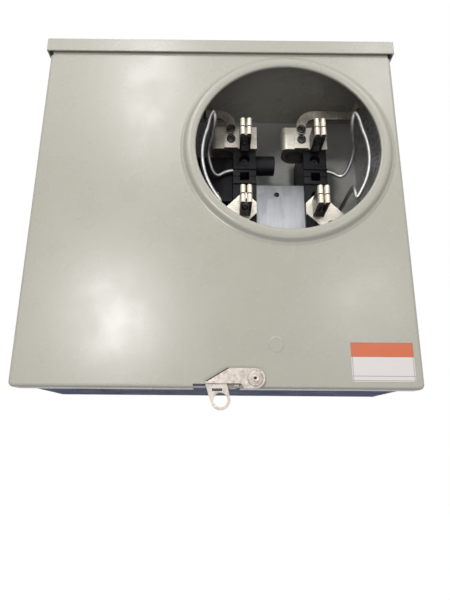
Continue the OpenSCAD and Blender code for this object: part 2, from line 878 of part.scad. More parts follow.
module cover() {
    flange_back = cover_in + cover_flange;
    color(paint)
    difference() {
        union() {
            difference() {
                union() {
                    box_at([-cover_x, cover_front, cover_low], [cover_x, cover_in, cover_high]);
                    for (s = [-1, 1])
                        box_at([min(s * cover_x, s * (cover_x - sheet)), cover_front, cover_low],
                               [max(s * cover_x, s * (cover_x - sheet)), flange_back, flange_high]);
                    box_at([-cover_x, cover_front, cover_low],
                           [cover_x, flange_back, cover_low + sheet]);
                }
                translate([meter_x, 0, meter_z])
                    hole_y(opening_r + ring_w, cover_front - past, cover_in + past);
            }
            translate([meter_x, cover_in, meter_z])
                rotate([90, 0, 0])
                    rotate_extrude($fn = 96)
                        ring_section();
        }
        // slot for the keeper's tongue, and the gap in the bottom flange for the keeper
        box_at([-slot_half, cover_front - past, slot_low], [slot_half, cover_in + past, slot_high]);
        box_at([-slot_half, cover_in, cover_low - past],
               [slot_half, flange_back + past, slot_high]);
        translate([pivot_x, 0, pivot_z]) hole_y(rivet_r + 0.1, cover_front - past, cover_in + past);
    }
}

label_size = [48, 30];

module cover_label() {
    color([0.93, 0.85, 0.8])
    box_at([cover_x - 6.6 - label_size[0], cover_front - 0.2, cover_low + 5.6],
           [cover_x - 6.6, cover_front, cover_low + 5.6 + label_size[1]]);
}

// ---- the latch ----

module latch_spacer() {
    color(zinc)
    translate([pivot_x, 0, pivot_z])
        difference() {
            hole_y(head_r, arm_back + 0.1, cover_front);
            hole_y(rivet_r + 0.1, arm_back - past, cover_front + past);
        }
}

module latch_rivet() {
    color(zinc)
    translate([pivot_x, 0, pivot_z])
        difference() {
            union() {
                hole_y(head_r, arm_front - 0.1 - head_t, arm_front - 0.1);
                hole_y(rivet_r, arm_front - 0.2, cover_in);
                hole_y(tail_r, cover_in, cover_in + 1.2);
            }
            hole_y(1.1, arm_front - head_t - past, cover_in + 3);
        }
}

module arm_outline() {
    difference() {
        union() {
            translate([pivot_x, pivot_z]) circle(r = arm_end_r, $fn = round_fn);
            polygon([[tab_left, arm_low], [tab_left, arm_low + 1.4],
                     [tab_left + 16.4, pivot_z + arm_end_r], [pivot_x, pivot_z + arm_end_r],
                     [pivot_x, pivot_z - arm_end_r], [pivot_x - 8.4, pivot_z - arm_end_r],
                     [pivot_x - 10.5, arm_low]]);
        }
        translate([pivot_x, pivot_z]) circle(r = rivet_r + rivet_clear, $fn = round_fn);
    }
}

// The arm lies in front of the spacer, steps back under its lower edge and hangs as a tab
module latch_arm() {
    color(zinc) {
        plate_xz(arm_front, arm_t) arm_outline();
        box_at([tab_left, arm_front, arm_low], [tab_right, tab_back, arm_low + tab_t]);
        plate_xz(tab_back - tab_t, tab_t) tab_outline(arm_low + tab_t / 2);
    }
}

body_shell();
floor_wall();
rain_cap();
wireway_knockout();
meter_knockout();
ground_knockout();
inner_label();
keeper();
keeper_rivets();
left_block();
right_block();
block_screws();
line_terminal_left();
line_terminal_right();
load_terminal_left();
load_terminal_right();
line_jaw_left();
line_jaw_right();
load_jaw_left();
load_jaw_right();
jaw_springs();
jaw_screws();
lug_screws();
horn_screws();
line_horn_left();
line_horn_right();
rim_wire_left();
rim_wire_right();
centre_bracket();
centre_screws();
neutral_insulator();
neutral_sleeve();
neutral_bar();
neutral_lugs();
neutral_screws();
ground_screw();
cover();
cover_label();
latch_spacer();
latch_rivet();
latch_arm();
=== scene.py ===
import math

import bmesh
import bpy
from mathutils import Matrix, Vector


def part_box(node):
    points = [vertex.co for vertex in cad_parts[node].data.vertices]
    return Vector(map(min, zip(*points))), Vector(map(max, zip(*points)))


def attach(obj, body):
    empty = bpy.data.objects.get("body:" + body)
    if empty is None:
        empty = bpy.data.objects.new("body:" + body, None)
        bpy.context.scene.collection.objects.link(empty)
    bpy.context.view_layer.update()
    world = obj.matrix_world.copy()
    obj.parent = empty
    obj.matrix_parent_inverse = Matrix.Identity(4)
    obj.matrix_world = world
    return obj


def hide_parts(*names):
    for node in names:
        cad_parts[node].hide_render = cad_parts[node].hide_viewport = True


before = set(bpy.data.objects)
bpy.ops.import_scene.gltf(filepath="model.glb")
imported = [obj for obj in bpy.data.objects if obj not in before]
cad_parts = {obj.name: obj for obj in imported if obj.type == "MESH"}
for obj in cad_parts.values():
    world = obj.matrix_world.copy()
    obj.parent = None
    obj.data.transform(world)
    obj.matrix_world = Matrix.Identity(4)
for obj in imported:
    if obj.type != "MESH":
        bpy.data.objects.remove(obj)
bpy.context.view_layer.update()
mm = 0.001
weld = 0.002 * mm  # corners nearer than this are one
print("frame loaded:", len(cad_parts), "nodes")

cameraSetup = {
    "place": (4.7, -470.9, -191.3),
    "pitch": 15.76,
    "yaw": -0.18,
    "roll": -0.45,
    "lens": 27.99,
    "sensor": 36,
    "nearest": 10.0,
}


def addCamera(setup):
    pitch, yaw, roll = (math.radians(setup[k]) for k in ("pitch", "yaw", "roll"))
    turn = (
        Matrix.Rotation(yaw, 3, "Z")
        @ Matrix.Rotation(pitch, 3, "X")
        @ Matrix.Rotation(roll, 3, "Y")
    )
    # columns of turn are right, forward and up
    looks = Matrix((turn.col[0], turn.col[2], -turn.col[1])).transposed().to_4x4()
    looks.translation = Vector(setup["place"]) * mm
    data = bpy.data.cameras.new("camera")
    data.lens = setup["lens"]
    data.sensor_width = setup["sensor"]
    data.clip_start = setup["nearest"] * mm
    camera = bpy.data.objects.new("camera", data)
    bpy.context.scene.collection.objects.link(camera)
    camera.matrix_world = looks
    bpy.context.scene.camera = camera


lightSetup = {
    # place, point aimed at, width and height in metres, power in watts
    "sky panel": {"place": (0.0, -1.3, 1.5), "aim": (0, -0.1, 0),
                  "size": (2.4, 1.2), "power": 12},
    "floor bounce": {"place": (0.05, -1.05, -0.62), "aim": (0.06, -0.03, 0.10),
                     "size": (1.1, 0.5), "power": 4.0},
    "ceiling strip left": {"place": (-0.297, -1.34, 1.104), "aim": (-0.06, -0.12, 0.1),
                           "size": (0.13, 0.42), "power": 4.2},
    "ceiling strip far left": {"place": (-0.435, -1.626, 0.262), "aim": (-0.08, -0.12, -0.1),
                               "size": (0.15, 0.30), "power": 7.6},
    "ceiling strip far right": {"place": (0.581, -1.589, 0.329), "aim": (0.11, -0.12, -0.09),
                                "size": (0.16, 0.22), "power": 1.8},
    "ceiling strip right": {"place": (0.622, -1.268, 1.125), "aim": (0.15, -0.12, 0.12),
                            "size": (0.14, 0.3), "power": 1.6},
}


def addLights(setup):
    for name, s in setup.items():
        data = bpy.data.lights.new(name, "AREA")
        data.shape = "RECTANGLE"
        data.size, data.size_y = s["size"]
        data.energy = s["power"]
        lamp = bpy.data.objects.new(name, data)
        bpy.context.scene.collection.objects.link(lamp)
        lamp.location = s["place"]
        way = Vector(s["aim"]) - Vector(s["place"])
        lamp.rotation_euler = way.to_track_quat("-Z", "Y").to_euler()


worldSetup = {"light": (0.66, 0.66, 0.68), "lightStrength": 0.39, "seen": (1, 1, 1), "seenStrength": 1.0}


def seenAsWhite(tree):
    # 1 for rays from the camera, from mirrors and through glass
    path = tree.nodes.new("ShaderNodeLightPath")
    either = tree.nodes.new("ShaderNodeMath")
    either.operation = "MAXIMUM"
    tree.links.new(path.outputs["Is Camera Ray"], either.inputs[0])
    tree.links.new(path.outputs["Is Glossy Ray"], either.inputs[1])
    last = tree.nodes.new("ShaderNodeMath")
    last.operation = "MAXIMUM"
    tree.links.new(either.outputs[0], last.inputs[0])
    tree.links.new(path.outputs["Is Transmission Ray"], last.inputs[1])
    return last.outputs[0]


def addWorld(setup):
    world = bpy.data.worlds.new("surroundings")
    world.use_nodes = True
    bpy.context.scene.world = world
    tree = world.node_tree
    lit = tree.nodes["Background"]
    lit.inputs["Color"].default_value = (*setup["light"], 1)
    lit.inputs["Strength"].default_value = setup["lightStrength"]
    seen = tree.nodes.new("ShaderNodeBackground")
    seen.inputs["Color"].default_value = (*setup["seen"], 1)
    seen.inputs["Strength"].default_value = setup["seenStrength"]
    mix = tree.nodes.new("ShaderNodeMixShader")
    tree.links.new(seenAsWhite(tree), mix.inputs[0])
    tree.links.new(lit.outputs[0], mix.inputs[1])
    tree.links.new(seen.outputs[0], mix.inputs[2])
    tree.links.new(mix.outputs[0], tree.nodes["World Output"].inputs["Surface"])


floorSetup = {"level": -0.75, "size": 7.0, "colour": (0.20, 0.215, 0.27), "roughness": 0.9, "glow": 0.9}


def addFloor(setup):
    half = setup["size"] / 2
    mesh = bpy.data.meshes.new("floor")
    mesh.from_pydata(
        [(-half, -half, setup["level"]), (half, -half, setup["level"]),
         (half, half, setup["level"]), (-half, half, setup["level"])],
        [], [(0, 1, 2, 3)])
    floor = bpy.data.objects.new("floor", mesh)
    bpy.context.scene.collection.objects.link(floor)
    material = bpy.data.materials.new("pale floor")
    material.use_nodes = True
    tree = material.node_tree
    surface = tree.nodes["Principled BSDF"]
    surface.inputs["Base Color"].default_value = (*setup["colour"], 1)
    surface.inputs["Roughness"].default_value = setup["roughness"]
    # the glow lifts the lit floor to white for the camera and leaves the shadow a shade under it
    glow = tree.nodes.new("ShaderNodeEmission")
    strength = tree.nodes.new("ShaderNodeMath")
    strength.operation = "MULTIPLY"
    tree.links.new(seenAsWhite(tree), strength.inputs[0])
    strength.inputs[1].default_value = setup["glow"]
    tree.links.new(strength.outputs[0], glow.inputs["Strength"])
    both = tree.nodes.new("ShaderNodeAddShader")
    tree.links.new(surface.outputs[0], both.inputs[0])
    tree.links.new(glow.outputs[0], both.inputs[1])
    tree.links.new(both.outputs[0], tree.nodes["Material Output"].inputs["Surface"])
    mesh.materials.append(material)


addCamera(cameraSetup)
addLights(lightSetup)
addWorld(worldSetup)
addFloor(floorSetup)
bpy.context.scene.view_settings.view_transform = "Standard"
print("camera, lights and backdrop placed")


class Finish:
    # a material with a principled surface and the object's own coordinates at hand

    def __init__(self, name, roughness=0.5, metallic=0.0, **sockets):
        self.material = bpy.data.materials.new(name)
        self.material.use_nodes = True
        self.tree = self.material.node_tree
        self.surface = self.tree.nodes["Principled BSDF"]
        self.surface.inputs["Roughness"].default_value = roughness
        self.surface.inputs["Metallic"].default_value = metallic
        for key, value in sockets.items():
            self.surface.inputs[key.replace("_", " ")].default_value = value
        self.coordinates = self.tree.nodes.new("ShaderNodeTexCoord").outputs["Object"]

    def node(self, kind, inputs=None, **settings):
        made = self.tree.nodes.new("ShaderNode" + kind)
        for key, value in settings.items():
            setattr(made, key, value)
        for key, value in (inputs or {}).items():
            if isinstance(value, bpy.types.NodeSocket):
                self.tree.links.new(value, made.inputs[key])
            else:
                made.inputs[key].default_value = value
        return made

    def stretched(self, scale):
        return self.node("Mapping", {"Vector": self.coordinates, "Scale": scale}).outputs[0]

    def noise(self, scale, detail=3.0, roughness=0.5, stretch=None):
        where = self.stretched(stretch) if stretch else self.coordinates
        return self.node("TexNoise", {"Vector": where, "Scale": scale, "Detail": detail,
                                      "Roughness": roughness}).outputs["Fac"]

    def ramp(self, factor, stops):
        made = self.node("ValToRGB", {"Fac": factor})
        band = made.color_ramp
        while len(band.elements) < len(stops):
            band.elements.new(0.5)
        for element, (place, colour) in zip(band.elements, stops):
            element.position = place
            element.color = (*colour, 1)
        return made.outputs["Color"]

    def spread(self, factor, low, high, fromLow=0.3, fromHigh=0.7):
        return self.node("MapRange", {"Value": factor, "From Min": fromLow, "From Max": fromHigh,
                                      "To Min": low, "To Max": high}).outputs[0]

    def math(self, operation, a, b=0.0):
        return self.node("Math", {0: a, 1: b}, operation=operation).outputs[0]

    def blend(self, factor, a, b):
        made = self.tree.nodes.new("ShaderNodeMix")
        made.data_type = "RGBA"
        for socket, value in ((made.inputs[0], factor), (made.inputs[6], a), (made.inputs[7], b)):
            if isinstance(value, bpy.types.NodeSocket):
                self.tree.links.new(value, socket)
            elif hasattr(value, "__len__"):
                socket.default_value = (*value, 1)
            else:
                socket.default_value = value
        return made.outputs[2]

    def under(self):
        # 1 on faces that look down, 0 on the rest: the mask for painted shade
        normal = self.tree.nodes.new("ShaderNodeTexCoord").outputs["Normal"]
        split = self.node("SeparateXYZ", {"Vector": normal})
        return self.spread(split.outputs["Z"], 1, 0, -0.9, -0.5)

    def use(self, socket, value):
        self.tree.links.new(value, self.surface.inputs[socket])

    def bump(self, height, strength, distance):
        made = self.node("Bump", {"Height": height, "Strength": strength, "Distance": distance})
        self.use("Normal", made.outputs["Normal"])


coatSetup = {
    "colour": (0.432, 0.414, 0.344),
    "deeper": (0.410, 0.392, 0.327),
    "peel": 900.0,
    "grain": 380.0,
    # the cover's two marks: x, z, radius and height in mm
    "boss": (45.6, -126.5, 6.0, 0.6),
    "dimple": (1.2, -128.9, 0.9, -0.4),
    "markEdge": 0.35,
}
# painted light: the box's coat is the cover's paint made lighter, standing in for light on the box
boxPaintedLightCoatSetup = {**coatSetup, "colour": (0.515, 0.512, 0.480), "deeper": (0.490, 0.487, 0.456)}


def circleHeight(finish, x, z, radius, edge):
    # 1 inside a circle on the cover's face, falling to 0 over its edge
    flat = finish.stretched((1, 0, 1))
    away = finish.node("VectorMath", {0: flat, 1: (x * mm, 0, z * mm)}, operation="DISTANCE")
    return finish.spread(away.outputs["Value"], 1, 0, (radius - edge) * mm, (radius + edge) * mm)


def powderCoat(name, setup, marks=False):
    coat = Finish(name, 0.28, Specular_IOR_Level=0.5)
    # a broad drift and a fine grain
    tone = coat.math("ADD", coat.math("MULTIPLY", coat.noise(6.0, 1.0), 0.35),
                     coat.math("MULTIPLY", coat.noise(setup["grain"], 4.0, 0.7), 0.65))
    coat.use("Base Color", coat.ramp(tone, [(0.35, setup["deeper"]), (0.65, setup["colour"])]))
    coat.use("Roughness", coat.spread(coat.noise(40.0, 4.0), 0.25, 0.31))
    height = coat.math("MULTIPLY", coat.noise(setup["peel"], 2.0), 0.035)
    if marks:
        for x, z, radius, rise in (setup["boss"], setup["dimple"]):
            mark = circleHeight(coat, x, z, radius, setup["markEdge"])
            height = coat.math("ADD", height, coat.math("MULTIPLY", mark, rise))
    coat.bump(height, 0.55, mm)
    return coat.material


# painted light and shade: inside is the box coat lightened, shade and pale are bluish shade painted on faces
# that look down
undersideSetup = {"inside": (0.50, 0.497, 0.466), "shade": (0.060, 0.072, 0.135),
                  "pale": (0.082, 0.096, 0.170)}


def undersideCoat(setup):
    # the box's coat inside, lightened as painted light, and a dark bluish painted shade on faces that look
    # down
    coat = Finish("underside coat", 0.7, Specular_IOR_Level=0.08)
    paintedShadeCast = coat.ramp(coat.noise(14.0, 3.0), [(0.3, setup["shade"]), (0.7, setup["pale"])])
    coat.use("Base Color", coat.blend(coat.under(), setup["inside"], paintedShadeCast))
    coat.use("Roughness", coat.spread(coat.noise(60.0, 3.0), 0.55, 0.68))
    coat.bump(coat.noise(900.0, 2.0), 0.05, mm)
    return coat.material


zincSetup = {"dark": (0.28, 0.245, 0.215), "mid": (0.42, 0.37, 0.325), "light": (0.55, 0.50, 0.45),
             "roughness": (0.30, 0.52)}


def zincPlate(name, setup):
    zinc = Finish(name, 0.4, 0.7)
    tone = zinc.noise(230.0, 5.0, 0.65)
    bands = [(0.3, setup["dark"]), (0.5, setup["mid"]), (0.72, setup["light"])]
    zinc.use("Base Color", zinc.ramp(tone, bands))
    zinc.use("Roughness", zinc.spread(zinc.noise(420.0, 4.0), *setup["roughness"]))
    zinc.bump(zinc.noise(650.0, 4.0, 0.6), 0.28, 0.2 * mm)
    return zinc


armPaintedShadowSetup = {
    # two points on the arm's upper left edge as x and z, and the painted shadow band's width and lower end,
    # in mm
    "from": (-8.5, -155.3), "to": (7.9, -145.3), "width": 0.9, "foot": -155.4,
    "tone": (0.035, 0.032, 0.03),
}


def armZincPaintedShadow(setup):
    # the arm's zinc, with a painted shadow band along its upper left edge
    finish = zincPlate("latch zinc with painted shadow", zincSetup)
    (x0, z0), (x1, z1) = setup["from"], setup["to"]
    run = math.hypot(x1 - x0, z1 - z0)
    split = finish.node("SeparateXYZ", {"Vector": finish.coordinates})
    # distance in mm below the line through the edge
    fall = finish.math("SUBTRACT", finish.math("MULTIPLY", split.outputs["X"], (z1 - z0) / run / mm),
                       finish.math("MULTIPLY", split.outputs["Z"], (x1 - x0) / run / mm))
    inset = finish.math("SUBTRACT", fall, (x0 * (z1 - z0) - z0 * (x1 - x0)) / run)
    # painted shadow: a near-black band along the upper left edge
    edge = finish.spread(inset, 1, 0, setup["width"] - 0.15, setup["width"] + 0.15)
    above = finish.spread(split.outputs["Z"], 0, 1, (setup["foot"] - 0.2) * mm, (setup["foot"] + 0.2) * mm)
    old = finish.surface.inputs["Base Color"].links[0].from_socket
    finish.use("Base Color", finish.blend(finish.math("MULTIPLY", edge, above), old, setup["tone"]))
    return finish.material


brightWireSetup = {"dark": (0.36, 0.355, 0.35), "light": (0.50, 0.495, 0.49), "roughness": (0.34, 0.48)}


def brightWire(setup):
    wire = Finish("bright wire", 0.4, 0.85)
    tone = wire.noise(120.0, 4.0)
    wire.use("Base Color", wire.ramp(tone, [(0.35, setup["dark"]), (0.7, setup["light"])]))
    wire.use("Roughness", wire.spread(wire.noise(300.0, 3.0), *setup["roughness"]))
    wire.bump(wire.noise(500.0, 3.0), 0.04, 0.1 * mm)
    return wire.material


galvanisedSetup = {
    "dark": (0.19, 0.195, 0.205), "light": (0.30, 0.305, 0.32), "spangle": 95.0,
    # painted light and shade: brightness low and high on the sheet, and the two heights in mm
    "paintedShadeBrightness": (1.25, 0.45), "heights": (4.0, 42.0),
}


def galvanisedSheet(setup):
    sheet = Finish("galvanised sheet", 0.38, 0.7)
    cells = sheet.node("TexVoronoi", {"Vector": sheet.stretched((1, 1, 0.6)), "Scale": setup["spangle"]})
    tone = sheet.node("RGBToBW", {"Color": cells.outputs["Color"]}).outputs[0]
    streak = sheet.noise(30.0, 4.0, 0.6, (6.0, 1.0, 0.5))
    both = sheet.math("ADD", sheet.math("MULTIPLY", tone, 0.35), sheet.math("MULTIPLY", streak, 0.65))
    height = sheet.node("SeparateXYZ", {"Vector": sheet.coordinates}).outputs["Z"]
    # painted shade: the sheet is brighter low down and darker towards its top
    bright = sheet.spread(height, *setup["paintedShadeBrightness"], *(h * mm for h in setup["heights"]))
    metal = sheet.ramp(both, [(0.25, setup["dark"]), (0.65, setup["light"])])
    shaded = sheet.node("VectorMath", {0: metal, "Scale": bright}, operation="SCALE")
    sheet.use("Base Color", shaded.outputs[0])
    sheet.use("Roughness", sheet.spread(both, 0.32, 0.5))
    sheet.bump(streak, 0.12, 0.2 * mm)
    return sheet.material


tinSetup = {
    "dark": (0.46, 0.42, 0.35), "mid": (0.70, 0.65, 0.56), "light": (0.86, 0.81, 0.71),
    # the near-black colour is painted shade for faces that look down and for the lugs' wire holes
    "under": (0.03, 0.028, 0.025), "metallic": 0.55, "grain": (1, 1, 5),
    "wireHoles": ((5.075, -53.8), (74.925, -53.8)), "wireRadius": 9.0,
}
# painted shade: the horn strap is the tin plate made darker, with near-black painted shade on faces that look
# down
hornPaintedShadeSetup = {
    "dark": (0.32, 0.29, 0.24), "mid": (0.52, 0.47, 0.39), "light": (0.70, 0.64, 0.54),
    "under": (0.03, 0.028, 0.025), "metallic": 0.7, "grain": (4, 1, 1),
    "wireHoles": (), "wireRadius": 0,
}


def tinPlate(name, setup):
    tin = Finish(name, 0.4, setup["metallic"])
    grained = tin.noise(150.0, 5.0, 0.6, setup["grain"])
    blotch = tin.noise(70.0, 3.0)
    both = tin.math("ADD", tin.math("MULTIPLY", grained, 0.6), tin.math("MULTIPLY", blotch, 0.4))
    plated = tin.ramp(both, [(0.32, setup["dark"]), (0.46, setup["mid"]), (0.66, setup["light"])])
    # painted shade underneath and inside the lugs' wire holes
    paintedShadeMask = tin.under()
    near, far = (setup["wireRadius"] + 0.1) * mm, (setup["wireRadius"] + 0.4) * mm
    for x, y in setup["wireHoles"]:
        flat = tin.stretched((1, 1, 0))
        away = tin.node("VectorMath", {0: flat, 1: (x * mm, y * mm, 0)}, operation="DISTANCE")
        paintedShadeMask = tin.math("MAXIMUM", paintedShadeMask, tin.spread(away.outputs["Value"], 1, 0, near, far))
    tin.use("Base Color", tin.blend(tin.math("MULTIPLY", paintedShadeMask, 0.88), plated, setup["under"]))
    tin.use("Roughness", tin.spread(blotch, 0.32, 0.5))
    tin.bump(grained, 0.16, 0.2 * mm)
    return tin.material


fingerSetup = {"cream": (0.93, 0.86, 0.74), "warm": (0.80, 0.68, 0.50), "darkBackAndShade": (0.026, 0.023, 0.022),
               "split": -90.6}


def jawMetal(setup):
    # tinned fingers in front, the jaw coloured dark behind them, and painted shade on faces that look down
    jaw = Finish("jaw metal", 0.36, 0.25)
    depth = jaw.node("SeparateXYZ", {"Vector": jaw.coordinates}).outputs["Y"]
    back = jaw.spread(depth, 0, 1, (setup["split"] - 0.5) * mm, (setup["split"] + 0.5) * mm)
    front = jaw.ramp(jaw.noise(260.0, 4.0), [(0.35, setup["warm"]), (0.55, setup["cream"])])
    # painted shade: faces that look down take the dark colour too
    dark = jaw.math("MAXIMUM", back, jaw.math("MULTIPLY", jaw.under(), 0.9))
    jaw.use("Base Color", jaw.blend(dark, front, setup["darkBackAndShade"]))
    jaw.use("Roughness", jaw.spread(jaw.noise(300.0, 3.0), 0.28, 0.45))
    jaw.bump(jaw.noise(400.0, 3.0), 0.12, 0.15 * mm)
    return jaw.material


mouldingSetup = {"dark": (0.006, 0.006, 0.007), "light": (0.014, 0.014, 0.016), "specular": 0.14}


def blackMoulding(setup):
    black = Finish("black moulding", 0.45, Specular_IOR_Level=setup["specular"])
    black.use("Base Color", black.ramp(black.noise(60.0, 3.0), [(0.3, setup["dark"]), (0.7, setup["light"])]))
    black.use("Roughness", black.spread(black.noise(160.0, 3.0), 0.38, 0.55))
    black.bump(black.noise(700.0, 2.0), 0.1, 0.2 * mm)
    return black.material


oxideSetup = {
    # colour of each steel finish, and its colour where it is worn
    "black oxide": ((0.028, 0.027, 0.026), (0.16, 0.15, 0.14)),
    "clip steel": ((0.030, 0.028, 0.026), (0.09, 0.08, 0.07)),
    "green screw": ((0.03, 0.22, 0.09), (0.10, 0.35, 0.18)),
}


def steelFinish(name, setup):
    colour, worn = setup[name]
    oxide = Finish(name, 0.34, 0.6)
    oxide.use("Base Color", oxide.ramp(oxide.noise(520.0, 4.0, 0.6), [(0.45, colour), (0.78, worn)]))
    oxide.use("Roughness", oxide.spread(oxide.noise(300.0, 3.0), 0.26, 0.45))
    oxide.bump(oxide.noise(600.0, 3.0), 0.12, 0.15 * mm)
    return oxide.material


paperSetup = {"dark": (0.22, 0.21, 0.23), "light": (0.80, 0.77, 0.80)}


def mottledPaper(setup):
    paper = Finish("mottled paper", 0.55)
    lines = paper.noise(170.0, 4.0, 0.7, (1, 1, 2.2))
    paper.use("Base Color", paper.ramp(lines, [(0.36, setup["dark"]), (0.62, setup["light"])]))
    paper.use("Roughness", paper.spread(lines, 0.45, 0.6))
    paper.bump(paper.noise(500.0, 2.0), 0.05, 0.1 * mm)
    return paper.material


print("making the finishes")
coat = powderCoat("powder coat", coatSetup)
boxPaintedLightCoat = powderCoat("box coat with painted light", boxPaintedLightCoatSetup)
coverCoat = powderCoat("cover coat", coatSetup, marks=True)
underCoat = undersideCoat(undersideSetup)
zinc = zincPlate("zinc plate", zincSetup).material
armPaintedShadowFinish = armZincPaintedShadow(armPaintedShadowSetup)
wireMetal = brightWire(brightWireSetup)
galvanised = galvanisedSheet(galvanisedSetup)
tin = tinPlate("tin plate", tinSetup)
hornPaintedShadeMetal = tinPlate("horn strap", hornPaintedShadeSetup)
jawFinish = jawMetal(fingerSetup)
black = blackMoulding(mouldingSetup)
oxide = steelFinish("black oxide", oxideSetup)
clipSteel = steelFinish("clip steel", oxideSetup)
greenSteel = steelFinish("green screw", oxideSetup)
paper = mottledPaper(paperSetup)


def place(mesh, name, body, nodes, slot, material):
    piece = bpy.data.objects.new(name, mesh)
    bpy.context.scene.collection.objects.link(piece)
    mesh.materials.clear()
    mesh.materials.append(material)
    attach(piece, body)
    if nodes:
        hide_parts(*nodes)
    return piece


def evaluated(piece):
    # the piece's mesh with its modifiers applied; the working object goes
    graph = bpy.context.evaluated_depsgraph_get()
    mesh = bpy.data.meshes.new_from_object(piece.evaluated_get(graph))
    bpy.data.objects.remove(piece)
    return mesh


def worked(mesh):
    piece = bpy.data.objects.new("working", mesh)
    bpy.context.scene.collection.objects.link(piece)
    return piece


def smoothByAngle(mesh, degrees):
    mesh.shade_smooth()
    mesh.set_sharp_from_angle(angle=math.radians(degrees))


def cleanCopy(node):
    # the node's loose triangles joined up, and its flat faces made whole
    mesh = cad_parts[node].data.copy()
    shape = bmesh.new()
    shape.from_mesh(mesh)
    bmesh.ops.remove_doubles(shape, verts=shape.verts, dist=weld)
    bmesh.ops.dissolve_limit(shape, angle_limit=math.radians(0.6), verts=shape.verts, edges=shape.edges,
                             delimit={"NORMAL"})
    shape.to_mesh(mesh)
    shape.free()
    for layer in list(mesh.uv_layers):
        mesh.uv_layers.remove(layer)
    return mesh


def softened(node, width, segments=2, angle=32):
    mesh = cleanCopy(node)
    smoothByAngle(mesh, angle)
    piece = worked(mesh)
    bevel = piece.modifiers.new("rounded edges", "BEVEL")
    bevel.width = width * mm
    bevel.segments = segments
    bevel.limit_method = "ANGLE"
    bevel.angle_limit = math.radians(angle)
    bevel.harden_normals = True
    bevel.use_clamp_overlap = True
    return evaluated(piece)


softSetup = {
    # node: edge radius in mm, segments, body, slot, material
    "rain_cap": (0.7, 3, "box", "painted_grey", coat),
    "body_shell": (0.5, 2, "box", "painted_grey", boxPaintedLightCoat),
    "floor_wall": (0.4, 2, "box", "painted_grey", underCoat),
    "wireway_knockout": (0.3, 2, "box", "painted_grey", underCoat),
    "meter_knockout": (0.3, 2, "box", "painted_grey", underCoat),
    "ground_knockout": (0.3, 2, "box", "painted_grey", underCoat),
    "keeper": (0.25, 2, "box", "zinc_plate", zinc),
    "keeper_rivets": (0.4, 3, "box", "zinc_plate", zinc),
    "centre_bracket": (0.5, 3, "box", "galvanised", galvanised),
    "left_block": (0.5, 2, "box", "black_moulding", black),
    "right_block": (0.5, 2, "box", "black_moulding", black),
    "neutral_insulator": (0.8, 2, "box", "black_moulding", black),
    "neutral_sleeve": (0.8, 3, "box", "black_moulding", black),
    "neutral_bar": (0.4, 2, "box", "tinned_aluminium", tin),
    "neutral_lugs": (0.5, 2, "box", "tinned_aluminium", tin),
    "line_terminal_left": (0.5, 3, "box", "tinned_aluminium", tin),
    "line_terminal_right": (0.5, 3, "box", "tinned_aluminium", tin),
    "load_terminal_left": (0.5, 3, "box", "tinned_aluminium", tin),
    "load_terminal_right": (0.5, 3, "box", "tinned_aluminium", tin),
    "line_horn_left": (0.35, 2, "box", "tinned_aluminium", hornPaintedShadeMetal),
    "line_horn_right": (0.35, 2, "box", "tinned_aluminium", hornPaintedShadeMetal),
    "line_jaw_left": (0.9, 4, "box", "tinned_aluminium", jawFinish),
    "line_jaw_right": (0.9, 4, "box", "tinned_aluminium", jawFinish),
    "load_jaw_left": (0.9, 4, "box", "tinned_aluminium", jawFinish),
    "load_jaw_right": (0.9, 4, "box", "tinned_aluminium", jawFinish),
    "jaw_springs": (0.15, 2, "box", "black_steel", clipSteel),
    "inner_label": (0.05, 1, "box", "label_paper", paper),
    "latch_spacer": (0.3, 2, "cover", "zinc_plate", zinc),
    "latch_arm": (0.3, 3, "latch", "zinc_plate", armPaintedShadowFinish),
}

for node, (width, segments, body, slot, material) in softSetup.items():
    place(softened(node, width, segments), node + "_shape", body, [node], slot, material)
print("sheet metal, mouldings and terminals rounded")

coverSetup = {
    "left": -157.0, "right": 157.0, "low": -160.0, "high": 154.0,
    "front": -117.0, "bend": 2.5, "flangeBack": -102.5, "flangeHigh": 142.0, "thickness": 1.5,
    "ringCentre": (59.4, 48.5), "opening": 80.0,
    # distance out from the opening's edge, height proud of the cover
    "ring": [(0, 2.1), (0, 3.2), (0.15, 3.7), (0.6, 4.15), (1.4, 4.42), (2.6, 4.58), (4.2, 4.68),
             (5.5, 4.7), (6.9, 4.6), (8.0, 4.2), (8.9, 3.4), (9.6, 2.4), (10.3, 1.4),
             (11.0, 0.8), (11.7, 0.58), (12.3, 0.50), (12.8, 0.36), (13.2, 0.12), (13.6, 0.0), (14.0, 0.0)],
    "slot": (-17.8, 17.8, -158.5, -156.7),
    # radius of the lower corners, width of the flat strip at the border, longest step along it
    "corner": 1.6, "border": 0.5, "step": 3.2,
    # how far the slot's cutters reach past the sheet, and into each other
    "cutPast": 2, "cutOverlap": 0.4,
}


def coverEdge(s):
    # points round the flat face's border with the way outward at each; None where it has no flange
    left, right, low, high = (s["left"] + s["bend"], s["right"] - s["bend"], s["low"] + s["bend"], s["high"])
    corner = s["corner"]
    edge = []

    def run(a, b, out):
        steps = max(2, int((Vector(b) - Vector(a)).length / s["step"]))
        for i in range(steps):
            p = Vector(a).lerp(Vector(b), i / steps)
            edge.append((p, Vector(out) if out else None))

    def turn(centre, first):
        for i in range(6):
            a = math.radians(first + 90 * i / 6)
            out = Vector((math.cos(a), math.sin(a)))
            edge.append((Vector(centre) + out * corner, out))

    run((left, high), (left, s["flangeHigh"]), None)
    run((left, s["flangeHigh"]), (left, low + corner), (-1, 0))
    turn((left + corner, low + corner), 180)
    run((left + corner, low), (right - corner, low), (0, -1))
    turn((right - corner, low + corner), 270)
    run((right, low + corner), (right, s["flangeHigh"]), (1, 0))
    edge.append((Vector((right, s["flangeHigh"])), Vector((1, 0))))
    run((right, s["flangeHigh"] + 1), (right, high), None)
    run((right, high), (left, high), None)
    return edge


